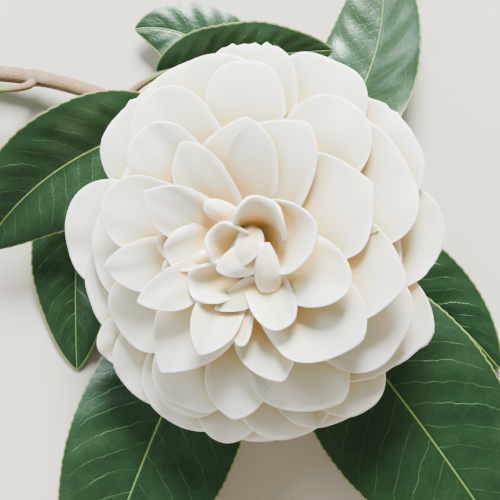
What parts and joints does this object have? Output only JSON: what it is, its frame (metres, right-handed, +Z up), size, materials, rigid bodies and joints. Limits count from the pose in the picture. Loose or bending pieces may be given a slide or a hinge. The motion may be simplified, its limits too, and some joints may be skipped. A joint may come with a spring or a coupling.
{
  "type": "cut camellia sprig with one bloom",
  "caption": "Cut camellia sprig lying down: a white formal double bloom facing up on a short bent stem, with glossy dark green leaves around and below it.",
  "frame": {"origin": "on the surface that the sprig lies on, under the middle of its bounding box", "axes": "+Z up, away from that surface and roughly the way the bloom faces; +Y towards the side that the stem comes from, with the cut end at -X"},
  "size_m": [0.2006, 0.1866, 0.0583],
  "materials": {
    "petals": "soft matt white petal, creamier towards the claw",
    "leaves": "glossy dark green leaf with a paler midrib and margin",
    "bark": "thin brown bark, greener towards the bloom",
    "calyx": "downy green scales with brown edges"
  },
  "bodies": {
    "root": {"bloom": "petals", "calyx": "calyx", "stem": "bark", "leaf_1": "leaves", "leaf_2": "leaves", "leaf_3": "leaves", "leaf_4": "leaves", "leaf_5": "leaves", "leaf_6": "leaves", "leaf_7": "leaves", "leaf_8": "leaves", "leaf_9": "leaves"}
  },
  "joints": []
}
